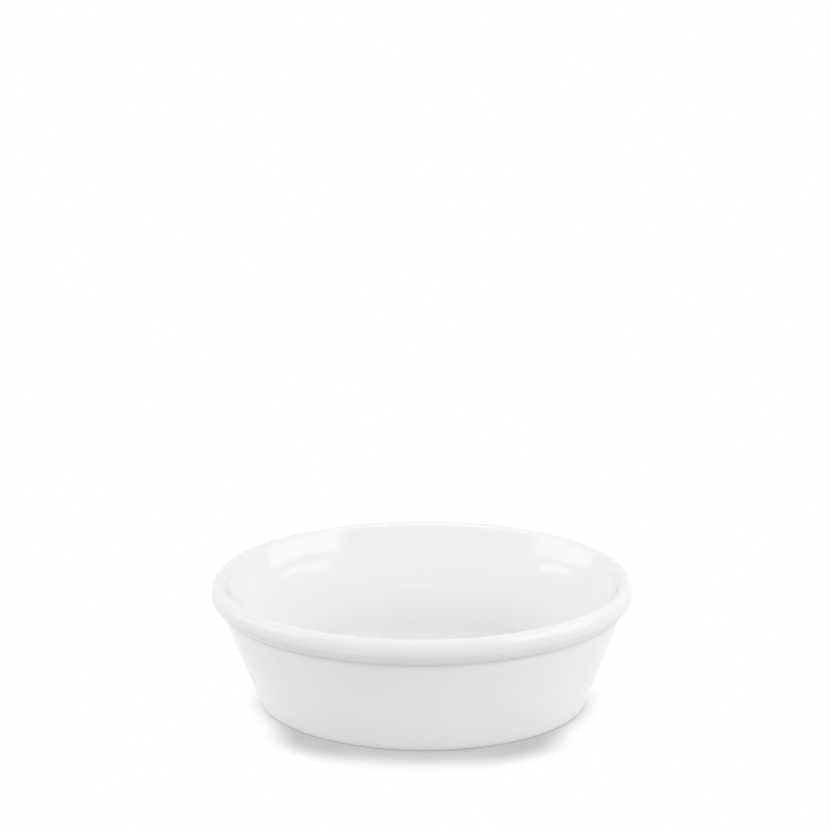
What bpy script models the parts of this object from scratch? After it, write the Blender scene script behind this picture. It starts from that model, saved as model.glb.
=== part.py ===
"""Oval pie dish: one fired ceramic body with a rolled rim, sloping wall and shallow foot ring.

The wall has the same section all the way round. That section is drawn once as a curve and swept
along the rim's oval, and the two flat ovals left open, the floor inside and the recess underneath,
are then filled. Metres, +Z up. The origin is on the table under the middle of the dish, with the
long way of the oval along X.
"""
import bmesh
import bpy
from math import cos, pi, radians, sin, tan

# Rim, seen from above
RIM_LENGTH = 0.152
RIM_WIDTH = 0.113

# Height from the table to the top of the rim
HEIGHT = 0.049

# Wall: thickness square to its face, and how far it leans out from upright
WALL = 0.0045
WALL_LEAN = radians(18.7)

# Rolled rim: the bead that stands proud of the wall outside. Its underside is flatter than an
# ellipse's quarter, by a power between 1, a straight bevel, and 2, the ellipse
BEAD_HEIGHT = 0.0094
BEAD_OVERHANG = 0.003
BEAD_SHOULDER = 0.0051
UNDERSIDE_POWER = 1.3
RIM_INNER_RADIUS = 0.002

# Floor inside the dish, measured from the table, and the round corner between wall and floor
FLOOR_HEIGHT = 0.005
FLOOR_FILLET = 0.010

# Foot: round edge under the wall, flat ring that stands on the table, recess inside the ring
BASE_EDGE_RADIUS = 0.0025
FOOT_RING_WIDTH = 0.004
RECESS_DEPTH = 0.0012

# Fineness of the faces: steps round the oval, and to each rounding of the section
OVAL_STEPS = 96
BEAD_STEPS = 7
RIM_INNER_STEPS = 5
FILLET_STEPS = 6
BASE_EDGE_STEPS = 4
RECESS_STEPS = 3

# Glazed white stoneware
GLAZE_COLOUR = (0.86, 0.86, 0.86, 1.0)
GLAZE_ROUGHNESS = 0.12
SHARP_ANGLE = radians(40)


def clear_scene():
    """Empties the scene without closing the file that this text runs from."""
    for item in list(bpy.data.objects):
        bpy.data.objects.remove(item)


def outer_face(height):
    """How far the outside of the wall lies inside the rim's oval at a height."""
    return BEAD_OVERHANG + (HEIGHT - BEAD_HEIGHT - height) * tan(WALL_LEAN)


def inner_face(height):
    """How far the inside of the wall lies inside the rim's oval at a height."""
    return outer_face(height) + WALL / cos(WALL_LEAN)


def arc(centre, radii, first, last, steps):
    """Points along part of an upright ellipse, both ends included."""
    turns = [first + (last - first) * step / steps for step in range(steps + 1)]
    return [(centre[0] + radii[0] * cos(turn), centre[1] + radii[1] * sin(turn)) for turn in turns]


def round_corner(face, height, radius, steps):
    """A rounding that starts flush with one face of the wall and ends level, at its lowest point."""
    centre = (face(height) + radius / cos(WALL_LEAN), height)
    return arc(centre, (radius, radius), pi + WALL_LEAN, 1.5 * pi, steps)


def bead_underside():
    """The bead from its widest line down to the wall."""
    drop = BEAD_HEIGHT - BEAD_SHOULDER
    power = 2 / UNDERSIDE_POWER
    points = []
    for step in range(BEAD_STEPS + 1):
        turn = pi / 2 * step / BEAD_STEPS
        inward = BEAD_OVERHANG * (1 - cos(turn) ** power)
        points.append((inward, HEIGHT - BEAD_SHOULDER - drop * sin(turn) ** power))
    return points


def wall_section():
    """The section of the wall, from the floor inside, over the rim and down to the recess underneath.

    Each point is its distance in from the rim's oval and its height above the table.
    """
    fillet = round_corner(inner_face, FLOOR_HEIGHT + FLOOR_FILLET, FLOOR_FILLET, FILLET_STEPS)

    crown_height = HEIGHT - RIM_INNER_RADIUS
    crown = inner_face(crown_height) - RIM_INNER_RADIUS / cos(WALL_LEAN)
    inner_rim = arc((crown, crown_height), (RIM_INNER_RADIUS, RIM_INNER_RADIUS),
                    WALL_LEAN, pi / 2, RIM_INNER_STEPS)

    widest = HEIGHT - BEAD_SHOULDER
    shoulder = arc((crown, widest), (crown, BEAD_SHOULDER), pi / 2, pi, BEAD_STEPS)

    base_edge = round_corner(outer_face, BASE_EDGE_RADIUS, BASE_EDGE_RADIUS, BASE_EDGE_STEPS)
    ring_end = base_edge[-1][0] + FOOT_RING_WIDTH
    ease = RECESS_DEPTH / 2
    recess_edge = arc((ring_end, ease), (ease, ease), 1.5 * pi, 2 * pi, RECESS_STEPS)
    recess_corner = arc((ring_end + 2 * ease, ease), (ease, ease), pi, pi / 2, RECESS_STEPS)

    return (fillet[::-1] + inner_rim + shoulder[1:] + bead_underside()[1:]
            + base_edge + recess_edge + recess_corner[1:])


def rim_oval():
    """The rim's outermost oval, anticlockwise seen from above."""
    turns = [2 * pi * step / OVAL_STEPS for step in range(OVAL_STEPS)]
    return [(RIM_LENGTH / 2 * cos(turn), RIM_WIDTH / 2 * sin(turn)) for turn in turns]


def guide_curve(name, points, closed):
    """A flat curve through a list of points, used only to draw the wall."""
    curve = bpy.data.curves.new(name, "CURVE")
    curve.dimensions = "2D"
    curve.fill_mode = "NONE"
    spline = curve.splines.new("POLY")
    spline.points.add(len(points) - 1)
    for point, (across, along) in zip(spline.points, points):
        point.co = (across, along, 0, 1)
    spline.use_cyclic_u = closed
    guide = bpy.data.objects.new(name, curve)
    bpy.context.scene.collection.objects.link(guide)
    return guide


def glazed_ceramic():
    material = bpy.data.materials.new("white_glaze")
    material.use_nodes = True
    shader = material.node_tree.nodes["Principled BSDF"]
    shader.inputs["Base Color"].default_value = GLAZE_COLOUR
    shader.inputs["Roughness"].default_value = GLAZE_ROUGHNESS
    shader.inputs["Metallic"].default_value = 0
    return material


def sweep(path, section):
    """The mesh that a section leaves when it is drawn along a path; the two guides are removed."""
    path.data.bevel_mode = "OBJECT"
    path.data.bevel_object = section
    evaluated = path.evaluated_get(bpy.context.evaluated_depsgraph_get())
    mesh = bpy.data.meshes.new_from_object(evaluated)
    bpy.data.objects.remove(path)
    bpy.data.objects.remove(section)
    return mesh


def close_flat_ovals(mesh):
    """Fills the floor and the recess, which the sweep leaves open, and turns all faces outward."""
    bm = bmesh.new()
    bm.from_mesh(mesh)
    rims = [edge for edge in bm.edges if edge.is_boundary]
    bmesh.ops.holes_fill(bm, edges=rims)
    bmesh.ops.recalc_face_normals(bm, faces=bm.faces)
    bm.to_mesh(mesh)
    bm.free()


def pie_dish(collection):
    section = guide_curve("wall_section", wall_section(), closed=False)
    path = guide_curve("rim_oval", rim_oval(), closed=True)
    mesh = sweep(path, section)
    mesh.name = "pie_dish"
    close_flat_ovals(mesh)
    mesh.shade_smooth()
    mesh.set_sharp_from_angle(angle=SHARP_ANGLE)
    mesh.materials.clear()
    mesh.materials.append(glazed_ceramic())
    dish = bpy.data.objects.new("pie_dish", mesh)
    collection.objects.link(dish)
    return dish


def build():
    clear_scene()
    collection = bpy.data.collections.new("oval_pie_dish")
    bpy.context.scene.collection.children.link(collection)
    pie_dish(collection)


build()
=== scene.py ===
"""Looks of the oval pie dish: white glaze over a moulded body, on a pale floor in studio light."""
from math import cos, pi, radians, sin, tan

import bpy
import numpy as np
from mathutils import Euler, Matrix, Vector

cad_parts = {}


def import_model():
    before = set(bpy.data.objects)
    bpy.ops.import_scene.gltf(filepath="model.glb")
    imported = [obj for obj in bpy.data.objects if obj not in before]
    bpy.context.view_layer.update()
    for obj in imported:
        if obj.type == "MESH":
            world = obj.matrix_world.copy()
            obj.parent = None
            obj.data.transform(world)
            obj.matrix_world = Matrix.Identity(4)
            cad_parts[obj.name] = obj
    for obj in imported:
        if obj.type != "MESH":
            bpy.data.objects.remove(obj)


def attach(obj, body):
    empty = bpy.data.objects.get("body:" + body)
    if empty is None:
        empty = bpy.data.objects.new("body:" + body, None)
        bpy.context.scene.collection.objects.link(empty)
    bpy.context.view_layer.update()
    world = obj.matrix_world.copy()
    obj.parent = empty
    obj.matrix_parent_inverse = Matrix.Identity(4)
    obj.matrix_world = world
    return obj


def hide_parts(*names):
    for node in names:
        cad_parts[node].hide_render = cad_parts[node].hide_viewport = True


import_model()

# The dish's own sizes, the same as those of the CAD source, in metres
RIM_LENGTH = 0.152
RIM_WIDTH = 0.113
HEIGHT = 0.049
WALL = 0.0045
WALL_LEAN = radians(18.7)
BEAD_HEIGHT = 0.0094
BEAD_OVERHANG = 0.003
BEAD_SHOULDER = 0.0051
UNDERSIDE_POWER = 1.3
RIM_INNER_RADIUS = 0.002
FLOOR_HEIGHT = 0.005
FLOOR_FILLET = 0.010
BASE_EDGE_RADIUS = 0.0025
FOOT_RING_WIDTH = 0.004
RECESS_DEPTH = 0.0012

# Radius of the glaze that gathers in the corner under the bead
CORNER_FILLET = 0.0005

# Fineness of the shown mesh: round the oval, then across the flats and down the wall's faces
OVAL_STEPS = 288
FLOOR_RINGS = 14
WALL_RINGS = 26

# Steps to each rounding of the section, and across the foot ring
FILLET_STEPS = 16
RIM_INNER_STEPS = 12
SHOULDER_STEPS = 16
UNDERSIDE_STEPS = 24
CORNER_STEPS = 5
BASE_EDGE_STEPS = 10
FOOT_RING_STEPS = 4
RECESS_STEPS = 5

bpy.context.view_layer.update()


def outer_face(height):
    """How far the outside of the wall lies inside the rim's oval at a height."""
    return BEAD_OVERHANG + (HEIGHT - BEAD_HEIGHT - height) * tan(WALL_LEAN)


def inner_face(height):
    """How far the inside of the wall lies inside the rim's oval at a height."""
    return outer_face(height) + WALL / cos(WALL_LEAN)


def arc(centre, radii, first, last, steps):
    """Points along part of an upright ellipse, both ends included."""
    turns = [first + (last - first) * step / steps for step in range(steps + 1)]
    return [(centre[0] + radii[0] * cos(turn), centre[1] + radii[1] * sin(turn)) for turn in turns]


def line(start, end, steps):
    """Points strictly between two others."""
    shares = [step / steps for step in range(1, steps)]
    return [(start[0] + (end[0] - start[0]) * share, start[1] + (end[1] - start[1]) * share)
            for share in shares]


def round_corner(face, height, radius, steps):
    """A rounding that starts flush with one face of the wall and ends level, at its low point."""
    centre = (face(height) + radius / cos(WALL_LEAN), height)
    return arc(centre, (radius, radius), pi + WALL_LEAN, 1.5 * pi, steps)


def bead_underside():
    """The bead below its widest line: it draws in to the wall, flatter than an ellipse would."""
    drop = BEAD_HEIGHT - BEAD_SHOULDER
    power = 2 / UNDERSIDE_POWER
    points = []
    for step in range(UNDERSIDE_STEPS + 1):
        turn = pi / 2 * step / UNDERSIDE_STEPS
        inward = 1 - cos(turn) ** power
        down = sin(turn) ** power
        points.append((BEAD_OVERHANG * inward, HEIGHT - BEAD_SHOULDER - drop * down))
    return points


def glazed_corner():
    """The small hollow of glaze between the bead's underside and the wall."""
    radius = CORNER_FILLET
    height = HEIGHT - BEAD_HEIGHT - radius
    centre = (outer_face(height) - radius / cos(WALL_LEAN), height)
    return arc(centre, (radius, radius), pi / 2, WALL_LEAN, CORNER_STEPS)


def wall_section():
    """The section of the wall, from the floor inside, over the rim, to the recess underneath.

    It comes in four parts: the inside up to the crown, the outside down to the foot, the points
    across the foot ring, and the recess. Each point is its distance in from the rim's oval and its
    height above the table.
    """
    fillet = round_corner(inner_face, FLOOR_HEIGHT + FLOOR_FILLET, FLOOR_FILLET, FILLET_STEPS)[::-1]
    crown_height = HEIGHT - RIM_INNER_RADIUS
    crown = inner_face(crown_height) - RIM_INNER_RADIUS / cos(WALL_LEAN)
    inner_rim = arc((crown, crown_height), (RIM_INNER_RADIUS, RIM_INNER_RADIUS),
                    WALL_LEAN, pi / 2, RIM_INNER_STEPS)
    inside = fillet + line(fillet[-1], inner_rim[0], WALL_RINGS) + inner_rim

    widest = HEIGHT - BEAD_SHOULDER
    shoulder = arc((crown, widest), (crown, BEAD_SHOULDER), pi / 2, pi, SHOULDER_STEPS)
    corner = glazed_corner()
    underside = [point for point in bead_underside() if point[0] < corner[0][0]]
    base_edge = round_corner(outer_face, BASE_EDGE_RADIUS, BASE_EDGE_RADIUS, BASE_EDGE_STEPS)
    outside = (shoulder[1:] + underside[1:] + corner + line(corner[-1], base_edge[0], WALL_RINGS)
               + base_edge)

    ring_end = base_edge[-1][0] + FOOT_RING_WIDTH
    ease = RECESS_DEPTH / 2
    recess_edge = arc((ring_end, ease), (ease, ease), 1.5 * pi, 2 * pi, RECESS_STEPS)
    recess_corner = arc((ring_end + 2 * ease, ease), (ease, ease), pi, pi / 2, RECESS_STEPS)
    foot = line(base_edge[-1], recess_edge[0], FOOT_RING_STEPS)
    return inside, outside, foot, recess_edge + recess_corner[1:]


def oval(distance):
    """The rim's oval moved inward by a distance, anticlockwise seen from above."""
    turn = np.linspace(0, 2 * pi, OVAL_STEPS, endpoint=False)
    normal = np.stack([np.cos(turn) / RIM_LENGTH, np.sin(turn) / RIM_WIDTH], axis=1)
    normal /= np.linalg.norm(normal, axis=1)[:, None]
    rim = np.stack([np.cos(turn) * RIM_LENGTH / 2, np.sin(turn) * RIM_WIDTH / 2], axis=1)
    return rim - distance * normal


def flat_rings(distance, height):
    """Rings of a flat oval, from near its middle out to just inside its edge."""
    edge = oval(distance)
    return [(edge * ring / FLOOR_RINGS, height) for ring in range(1, FLOOR_RINGS)]


def quads(ring_count, steps):
    """The faces between closed rings of points that follow one another."""
    faces = []
    for ring in range(ring_count - 1):
        for step in range(steps):
            here = ring * steps + step
            ahead = ring * steps + (step + 1) % steps
            faces.append((here, here + steps, ahead + steps, ahead))
    return faces


# Painted shade on the outside, by height. There is none on the open wall or the rim's top. It grows
# down the bead's face and underside, is darkest in the corner under the bead, and there is some at
# the foot's edge.
PAINTED_SHADE_BY_HEIGHT = ((0.0, 0.7), (0.0010, 0.5), (0.0028, 0.0), (0.0372, 0.0), (0.0386, 0.25),
                (0.0391, 0.35), (0.0393, 0.9), (0.0396, 1.0), (0.0399, 0.72), (0.0420, 0.67),
                (0.0438, 0.62), (0.0452, 0.54), (0.0470, 0.42), (0.0481, 0.15), (0.0490, 0.0))

# The dish's material slots
GLAZED = 0
BARE = 1


def dish_mesh():
    """The dish's closed surface as one mesh, with the painted shade at each point."""
    inside, outside, foot, recess = wall_section()
    inner_flat, under_flat = inside[0], recess[-1]
    floor_rings = flat_rings(*inner_flat)
    wall_rings = [(oval(distance), height) for distance, height in inside + outside + foot + recess]
    rings = floor_rings + wall_rings + flat_rings(*under_flat)[::-1]
    points = np.concatenate([np.column_stack([flat, np.full(OVAL_STEPS, height)])
                             for flat, height in rings])
    middles = [(0, 0, inner_flat[1]), (0, 0, under_flat[1])]

    first_outside = len(floor_rings) + len(inside)
    first_foot = first_outside + len(outside)
    bare = range(first_foot - 1, first_foot + len(foot))
    faces = quads(len(rings), OVAL_STEPS)
    slots = np.repeat([BARE if ring in bare else GLAZED for ring in range(len(rings) - 1)],
                      OVAL_STEPS).tolist()
    top, bottom = len(points), len(points) + 1
    last = (len(rings) - 1) * OVAL_STEPS
    for step in range(OVAL_STEPS):
        ahead = (step + 1) % OVAL_STEPS
        faces.append((top, step, ahead))
        faces.append((bottom, last + ahead, last + step))
        slots += [GLAZED, GLAZED]

    mesh = bpy.data.meshes.new("dish_body")
    mesh.from_pydata(np.vstack([points, middles]).tolist(), [], faces)
    mesh.polygons.foreach_set("material_index", slots)
    # Painted shade for each ring: greyer down the bead's face and underside, darkest in the corner
    # under it, some at the foot's edge
    shade_amount = np.zeros(len(rings))
    outside_heights = [height for distance, height in outside]
    shade_amount[first_outside:first_foot] = np.interp(outside_heights, *zip(*PAINTED_SHADE_BY_HEIGHT))
    mesh.attributes.new("painted_shade", "FLOAT", "POINT").data.foreach_set(
        "value", np.append(np.repeat(shade_amount, OVAL_STEPS), [0.0, 0.0]))
    mesh.update()
    mesh.shade_smooth()
    return mesh


def feed(tree, socket, value):
    """Gives an input a number, or links another node's output to it."""
    if isinstance(value, (int, float)):
        socket.default_value = value
    else:
        tree.links.new(value, socket)


def math_node(tree, operation, first, second=None):
    """One arithmetic node on one or two sockets or numbers; returns its output."""
    node = tree.nodes.new("ShaderNodeMath")
    node.operation = operation
    feed(tree, node.inputs[0], first)
    if second is not None:
        feed(tree, node.inputs[1], second)
    return node.outputs[0]


def blend(tree, share, first, second):
    """One value to another, by a share."""
    node = tree.nodes.new("ShaderNodeMix")
    feed(tree, node.inputs[0], share)
    feed(tree, node.inputs[2], first)
    feed(tree, node.inputs[3], second)
    return node.outputs[0]


def map_range(tree, value, before, after=(0.0, 1.0), interpolation="LINEAR"):
    """A value moved from one range to another, held at the ends."""
    node = tree.nodes.new("ShaderNodeMapRange")
    node.interpolation_type = interpolation
    node.inputs["From Min"].default_value, node.inputs["From Max"].default_value = before
    node.inputs["To Min"].default_value, node.inputs["To Max"].default_value = after
    tree.links.new(value, node.inputs["Value"])
    return node.outputs["Result"]


def noise_node(tree, coordinates, fineness, detail, roughness=0.5):
    """A noise over the object's own coordinates. Fineness is its patches to the metre."""
    node = tree.nodes.new("ShaderNodeTexNoise")
    node.inputs["Scale"].default_value = fineness
    node.inputs["Detail"].default_value = detail
    node.inputs["Roughness"].default_value = roughness
    tree.links.new(coordinates, node.inputs["Vector"])
    return node.outputs["Fac"]


def colour_ramp(tree, value, stops):
    """A colour that follows the stops, straight between them."""
    node = tree.nodes.new("ShaderNodeValToRGB")
    elements = node.color_ramp.elements
    while len(elements) < len(stops):
        elements.new(0.5)
    for element, (position, colour) in zip(elements, stops):
        element.position = position
        element.color = colour + (1,)
    tree.links.new(value, node.inputs[0])
    return node.outputs["Color"]


def grey_ramp(tree, value, stops):
    """A level that follows the stops, straight between them."""
    return colour_ramp(tree, value, [(position, (level,) * 3) for position, level in stops])


def bump(tree, height, distance, below=None):
    """The normal of a height in metres, over another bump if one is given."""
    node = tree.nodes.new("ShaderNodeBump")
    node.inputs["Distance"].default_value = distance
    tree.links.new(height, node.inputs["Height"])
    if below is not None:
        tree.links.new(below, node.inputs["Normal"])
    return node.outputs["Normal"]


def axes(tree, output):
    """X, Y and Z of one kind of coordinates."""
    place = tree.nodes.new("ShaderNodeTexCoord")
    split = tree.nodes.new("ShaderNodeSeparateXYZ")
    tree.links.new(place.outputs[output], split.inputs[0])
    return split.outputs["X"], split.outputs["Y"], split.outputs["Z"]


def seen_rays(tree):
    """1 for a camera, glossy or transmission ray, and 0 for the rays that light the dish."""
    path = tree.nodes.new("ShaderNodeLightPath")
    first = math_node(tree, "MAXIMUM", path.outputs["Is Camera Ray"], path.outputs["Is Glossy Ray"])
    return math_node(tree, "MAXIMUM", first, path.outputs["Is Transmission Ray"])


def split_by_ray(tree, light, shown, output):
    """Sends one shader to the rays that carry light, and the other to the rays that see."""
    mix = tree.nodes.new("ShaderNodeMixShader")
    tree.links.new(seen_rays(tree), mix.inputs[0])
    tree.links.new(light.outputs[0], mix.inputs[1])
    tree.links.new(shown.outputs[0], mix.inputs[2])
    tree.links.new(mix.outputs[0], output.inputs[0])


def new_material(name):
    """A material and its node tree."""
    material = bpy.data.materials.new(name)
    material.use_nodes = True
    return material, material.node_tree


# Tone of the glaze: its own white where there is no painted shade, greying to the painted shade of
# the corner under the bead
GLAZE_WHITE = (0.865, 0.865, 0.865)
PAINTED_SHADE_GREY = (0.785, 0.787, 0.788)
PAINTED_CREASE_GREY = (0.68, 0.682, 0.683)
GLAZE_AND_SHADE_TONES = ((0.0, GLAZE_WHITE), (0.7, PAINTED_SHADE_GREY), (1.0, PAINTED_CREASE_GREY))

# Faint clouds, as if the glaze lay uneven
CLOUD_FINENESS = 38.0
CLOUD_DETAIL = 3.0
CLOUD_RANGE = (0.3, 0.7)
CLOUD_DEPTHS = (0.0, 0.04)

# Faint smears in the gloss, from smooth to duller
SMEAR_FINENESS = 70.0
SMEAR_DETAIL = 4.0
SMEAR_ROUGHNESS = 0.6
SMEAR_RANGE = (0.35, 0.7)
GLOSS_RANGE = (0.015, 0.035)

# Slight waves and fine peel in the surface, with their heights in metres
WAVE_FINENESS = 130.0
WAVE_DETAIL = 1.0
WAVE_HEIGHT = 0.000005
PEEL_FINENESS = 900.0
PEEL_DETAIL = 2.0
PEEL_HEIGHT = 0.0000002


def glaze():
    """White glossy glaze, with painted shade that greys it under the bead, in the corner under it
    and at the foot's edge.
    """
    material, tree = new_material("white_glaze_painted_shade")
    shader = tree.nodes["Principled BSDF"]
    place = tree.nodes.new("ShaderNodeTexCoord").outputs["Object"]
    shade_amount = tree.nodes.new("ShaderNodeAttribute")
    shade_amount.attribute_name = "painted_shade"
    cloud = noise_node(tree, place, CLOUD_FINENESS, CLOUD_DETAIL)
    uneven = map_range(tree, cloud, CLOUD_RANGE, CLOUD_DEPTHS)
    # The painted shade under the bead and at the foot's edge, plus the faint clouds, sets the
    # glaze's tone
    cloud_and_shade = math_node(tree, "ADD", shade_amount.outputs["Fac"], uneven)
    tree.links.new(colour_ramp(tree, cloud_and_shade, GLAZE_AND_SHADE_TONES), shader.inputs["Base Color"])
    smears = noise_node(tree, place, SMEAR_FINENESS, SMEAR_DETAIL, SMEAR_ROUGHNESS)
    tree.links.new(map_range(tree, smears, SMEAR_RANGE, GLOSS_RANGE), shader.inputs["Roughness"])
    waves = bump(tree, noise_node(tree, place, WAVE_FINENESS, WAVE_DETAIL), WAVE_HEIGHT)
    peel = bump(tree, noise_node(tree, place, PEEL_FINENESS, PEEL_DETAIL), PEEL_HEIGHT, waves)
    tree.links.new(peel, shader.inputs["Normal"])
    return material


# Bare fired clay: a warm off-white with fine dark and pale grains, slightly pitted
CLAY_TONES = ((0.3, (0.50, 0.46, 0.39)), (0.55, (0.80, 0.76, 0.68)))
CLAY_FINENESS = 2600.0
CLAY_DETAIL = 3.0
CLAY_GRAIN_ROUGHNESS = 0.65
CLAY_GRAIN_RANGE = (0.3, 0.7)
CLAY_DULLNESS = (0.9, 0.65)
CLAY_PIT_DEPTH = 0.00006


def bare_clay():
    """The foot ring, wiped clean of glaze before firing."""
    material, tree = new_material("bare_foot_ring")
    shader = tree.nodes["Principled BSDF"]
    place = tree.nodes.new("ShaderNodeTexCoord").outputs["Object"]
    grain = noise_node(tree, place, CLAY_FINENESS, CLAY_DETAIL, CLAY_GRAIN_ROUGHNESS)
    tree.links.new(colour_ramp(tree, grain, CLAY_TONES), shader.inputs["Base Color"])
    tree.links.new(map_range(tree, grain, CLAY_GRAIN_RANGE, CLAY_DULLNESS),
                   shader.inputs["Roughness"])
    tree.links.new(bump(tree, grain, CLAY_PIT_DEPTH), shader.inputs["Normal"])
    return material


def dish():
    """The shown dish, which stands for the CAD solid."""
    mesh = dish_mesh()
    mesh.materials.append(glaze())
    mesh.materials.append(bare_clay())
    thing = bpy.data.objects.new("dish_body", mesh)
    bpy.context.scene.collection.objects.link(thing)
    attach(thing, "root")
    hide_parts("pie_dish")


# The floor's colour and size, its gap below the foot, and its rings: points in each, and growth
FLOOR_COLOUR = 0.8
FLOOR_SIZE = 6.0
FLOOR_GAP = 0.00002
FLOOR_STEPS = 72
FLOOR_GROWTH = 1.5

# How far the dish shades the floor, and how many rays look for it
SHADE_REACH = 0.014
SHADE_SAMPLES = 16

# The floor's brightness by how open it lies: before the middle, beside that, and at the ends
SHADE_MIDDLE = ((0.20, 0.45), (0.36, 0.57), (0.48, 0.61), (0.61, 0.715), (0.735, 0.85),
                (0.80, 0.91), (0.91, 0.978), (1.0, 1.0))
SHADE_SIDES = ((0.24, 0.47), (0.33, 0.56), (0.52, 0.56), (0.61, 0.585), (0.71, 0.69),
               (0.82, 0.80), (0.92, 0.95), (1.0, 1.0))
SHADE_ENDS = ((0.25, 0.58), (0.34, 0.69), (0.43, 0.84), (0.52, 0.94), (0.62, 0.99), (0.72, 1.0))

# Where one brightness passes into the next, along X from the middle
MIDDLE_TO_SIDES = (0.012, 0.036)
SIDES_TO_ENDS = (0.041, 0.057)


def floor_mesh():
    """A wide round floor, open under the foot so that a view from below shows the underside."""
    outside = wall_section()[1]
    ring_middle = outside[-1][0] + FOOT_RING_WIDTH / 2
    rings = [oval(ring_middle)[::OVAL_STEPS // FLOOR_STEPS]]
    while rings[-1][0, 0] < FLOOR_SIZE:
        rings.append(rings[-1] * FLOOR_GROWTH)
    flat = np.concatenate(rings)
    points = np.column_stack([flat, np.full(len(flat), -FLOOR_GAP)])
    mesh = bpy.data.meshes.new("floor")
    mesh.from_pydata(points.tolist(), [], quads(len(rings), FLOOR_STEPS))
    return mesh


def floor_material():
    """Matt to the rays that carry light, and white with the dish's soft shade to the others."""
    material, tree = new_material("pale_floor")
    tree.nodes.clear()
    near = tree.nodes.new("ShaderNodeAmbientOcclusion")
    near.samples = SHADE_SAMPLES
    near.inputs["Distance"].default_value = SHADE_REACH
    openness = near.outputs["AO"]
    aside = math_node(tree, "ABSOLUTE", axes(tree, "Object")[0])
    shade = blend(tree, map_range(tree, aside, MIDDLE_TO_SIDES, interpolation="SMOOTHSTEP"),
                  grey_ramp(tree, openness, SHADE_MIDDLE), grey_ramp(tree, openness, SHADE_SIDES))
    shade = blend(tree, map_range(tree, aside, SIDES_TO_ENDS, interpolation="SMOOTHSTEP"),
                  shade, grey_ramp(tree, openness, SHADE_ENDS))
    matt = tree.nodes.new("ShaderNodeBsdfDiffuse")
    matt.inputs["Color"].default_value = (FLOOR_COLOUR, FLOOR_COLOUR, FLOOR_COLOUR, 1)
    shown = tree.nodes.new("ShaderNodeEmission")
    tree.links.new(shade, shown.inputs["Strength"])
    split_by_ray(tree, matt, shown, tree.nodes.new("ShaderNodeOutputMaterial"))
    return material


def floor():
    """A plain pale floor."""
    mesh = floor_mesh()
    mesh.materials.append(floor_material())
    thing = bpy.data.objects.new("floor", mesh)
    bpy.context.scene.collection.objects.link(thing)


# Levels of the world's light in front, right, back and left: near the horizon, and higher up
WORLD_LOW = (0.09, 0.14, 1.38, 0.28)
WORLD_HIGH = (0.785, 1.405, 0.05, 1.065)

# Levels overhead, and from below, which only reaches the underside
WORLD_TOP = 0.375
WORLD_BELOW = 0.5

# How fast the low light fades upward, what brings the higher light to 1 halfway up, and a number
# just over 1 that keeps the shares of the sides finite straight up
LOW_FADE = 4.0
HIGH_GAIN = 4.0
FINITE = 1.001


def world_level(tree):
    """The level of the light that comes from each direction.

    The four sides share out each bearing among them, by the squares of its cosine and sine.
    """
    across, along, up = axes(tree, "Generated")
    height = math_node(tree, "MAXIMUM", up, 0.0)
    fall = math_node(tree, "SUBTRACT", 1.0, height)
    top = math_node(tree, "MULTIPLY", height, height)
    flat = math_node(tree, "SUBTRACT", FINITE, top)
    low = math_node(tree, "POWER", fall, LOW_FADE)
    high = math_node(tree, "MULTIPLY", math_node(tree, "MULTIPLY", height, fall), HIGH_GAIN)
    below = math_node(tree, "MAXIMUM", math_node(tree, "MULTIPLY", up, -1.0), 0.0)
    total = math_node(tree, "ADD", math_node(tree, "MULTIPLY", top, WORLD_TOP),
                      math_node(tree, "MULTIPLY", below, WORLD_BELOW))
    sides = ((along, -1.0), (across, 1.0), (along, 1.0), (across, -1.0))
    for (axis, sign), low_level, high_level in zip(sides, WORLD_LOW, WORLD_HIGH):
        toward = math_node(tree, "MAXIMUM", math_node(tree, "MULTIPLY", axis, sign), 0.0)
        share = math_node(tree, "DIVIDE", math_node(tree, "MULTIPLY", toward, toward), flat)
        bands = math_node(tree, "ADD", math_node(tree, "MULTIPLY", low, low_level),
                          math_node(tree, "MULTIPLY", high, high_level))
        total = math_node(tree, "ADD", total, math_node(tree, "MULTIPLY", share, bands))
    return total


def world():
    """Shaped soft light for the dish, and plain white for the camera and the mirrored rays."""
    studio = bpy.data.worlds.new("studio")
    bpy.context.scene.world = studio
    studio.use_nodes = True
    tree = studio.node_tree
    tree.nodes.clear()
    light = tree.nodes.new("ShaderNodeBackground")
    white = tree.nodes.new("ShaderNodeBackground")
    for background in (light, white):
        background.inputs["Color"].default_value = (1, 1, 1, 1)
    tree.links.new(world_level(tree), light.inputs["Strength"])
    split_by_ray(tree, light, white, tree.nodes.new("ShaderNodeOutputWorld"))


# Azimuths that the two groups of light panels stand square to, and their distance from the dish
RIGHT_FACING = radians(-66.1)
LEFT_FACING = radians(-109.3)
PANEL_DISTANCE = 0.5

# Watts that a square metre of panel takes to show at brightness 1
PANEL_POWER = 4

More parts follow.
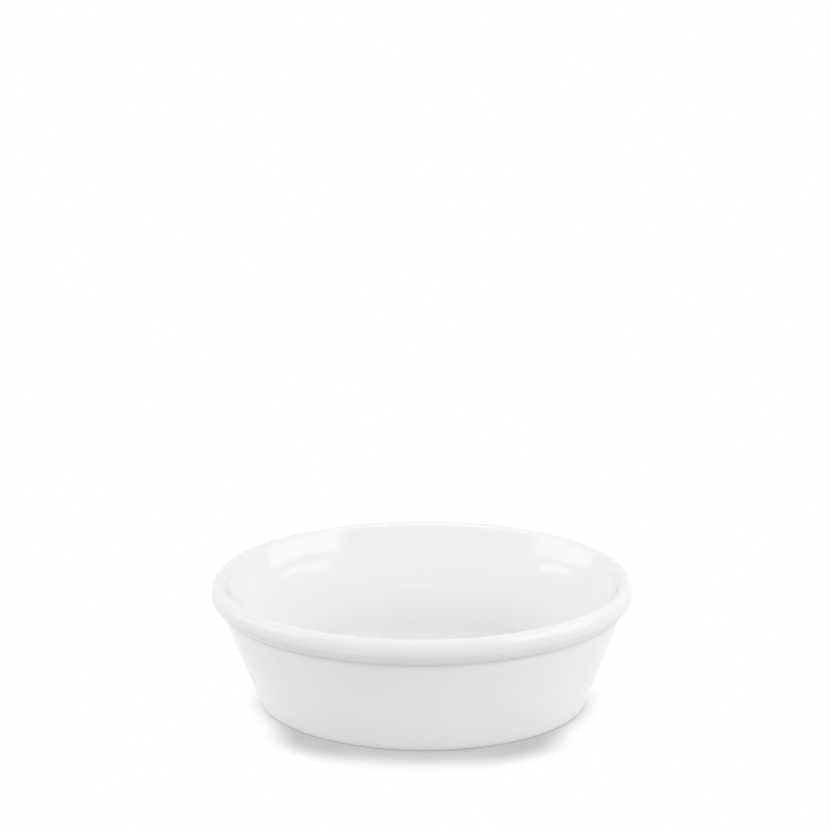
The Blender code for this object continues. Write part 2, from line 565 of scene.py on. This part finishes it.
# Panels: ends along the plane, low and high edge, brightness, and whether the glaze mirrors it
PANELS = [
    ("right_fade_1", RIGHT_FACING, 0.093, 0.110, 0.1803, 0.70, 0.4, True),
    ("right_fade_2", RIGHT_FACING, 0.110, 0.128, 0.1803, 0.70, 0.8, True),
    ("right_panel", RIGHT_FACING, 0.128, 1.0, 0.1803, 0.70, 1.25, True),
    ("right_strip", RIGHT_FACING, 0.173, 0.80, 0.1665, 0.1735, 0.95, True),
    ("left_fade_1", LEFT_FACING, -0.355, -0.324, 0.1731, 0.70, 0.4, True),
    ("left_fade_2", LEFT_FACING, -0.387, -0.355, 0.1731, 0.70, 0.8, True),
    ("left_panel", LEFT_FACING, -4.0, -0.387, 0.1731, 0.70, 1.08, True),
    ("left_high_panel", LEFT_FACING, -4.2, -0.33, 0.70, 1.5, 1.46, False),
    ("left_strip", LEFT_FACING, -1.08, -0.45, 0.1600, 0.1678, 1.2, True),
]


def panel(name, facing, first, last, low, high, level, mirrored):
    """An upright light panel, seen from the middle of the dish.

    Its plane is square to the azimuth facing. It runs from first to last along that plane,
    anticlockwise seen from above, and from low to high. One that isn't mirrored only fills.
    """
    normal = Vector((cos(facing), sin(facing), 0))
    along = Vector((-sin(facing), cos(facing), 0))
    width = last - first
    height = high - low
    data = bpy.data.lights.new(name, "AREA")
    data.shape = "RECTANGLE"
    data.size = width
    data.size_y = height
    data.energy = PANEL_POWER * width * height * level
    thing = bpy.data.objects.new(name, data)
    centre = normal * PANEL_DISTANCE + along * (first + last) / 2
    centre.z = (low + high) / 2
    thing.location = centre
    thing.rotation_euler = (-normal).to_track_quat("-Z", "Y").to_euler()
    thing.visible_camera = False
    thing.visible_glossy = mirrored
    bpy.context.scene.collection.objects.link(thing)


# Camera: place, heading, tilt and focal length that a fit to the photograph's outline gave
CAMERA_PLACE = (0.03506, -0.54265, 0.28224)
CAMERA_DOWN = radians(17.585)
CAMERA_HEADING = radians(3.826)
CAMERA_ROLL = radians(-0.899)
FOCAL_PIXELS = 1630.6
PICTURE_PIXELS = 830
SENSOR = 36.0


def camera():
    """The photograph's view."""
    data = bpy.data.cameras.new("camera")
    data.sensor_width = SENSOR
    data.lens = SENSOR * FOCAL_PIXELS / PICTURE_PIXELS
    thing = bpy.data.objects.new("camera", data)
    thing.location = CAMERA_PLACE
    turn = Euler((pi / 2 - CAMERA_DOWN, 0, CAMERA_HEADING)).to_matrix()
    thing.rotation_euler = (turn @ Matrix.Rotation(CAMERA_ROLL, 3, "Z")).to_euler()
    bpy.context.scene.collection.objects.link(thing)
    bpy.context.scene.camera = thing


dish()
floor()
world()
for row in PANELS:
    panel(*row)
camera()
bpy.context.scene.view_settings.view_transform = "Standard"
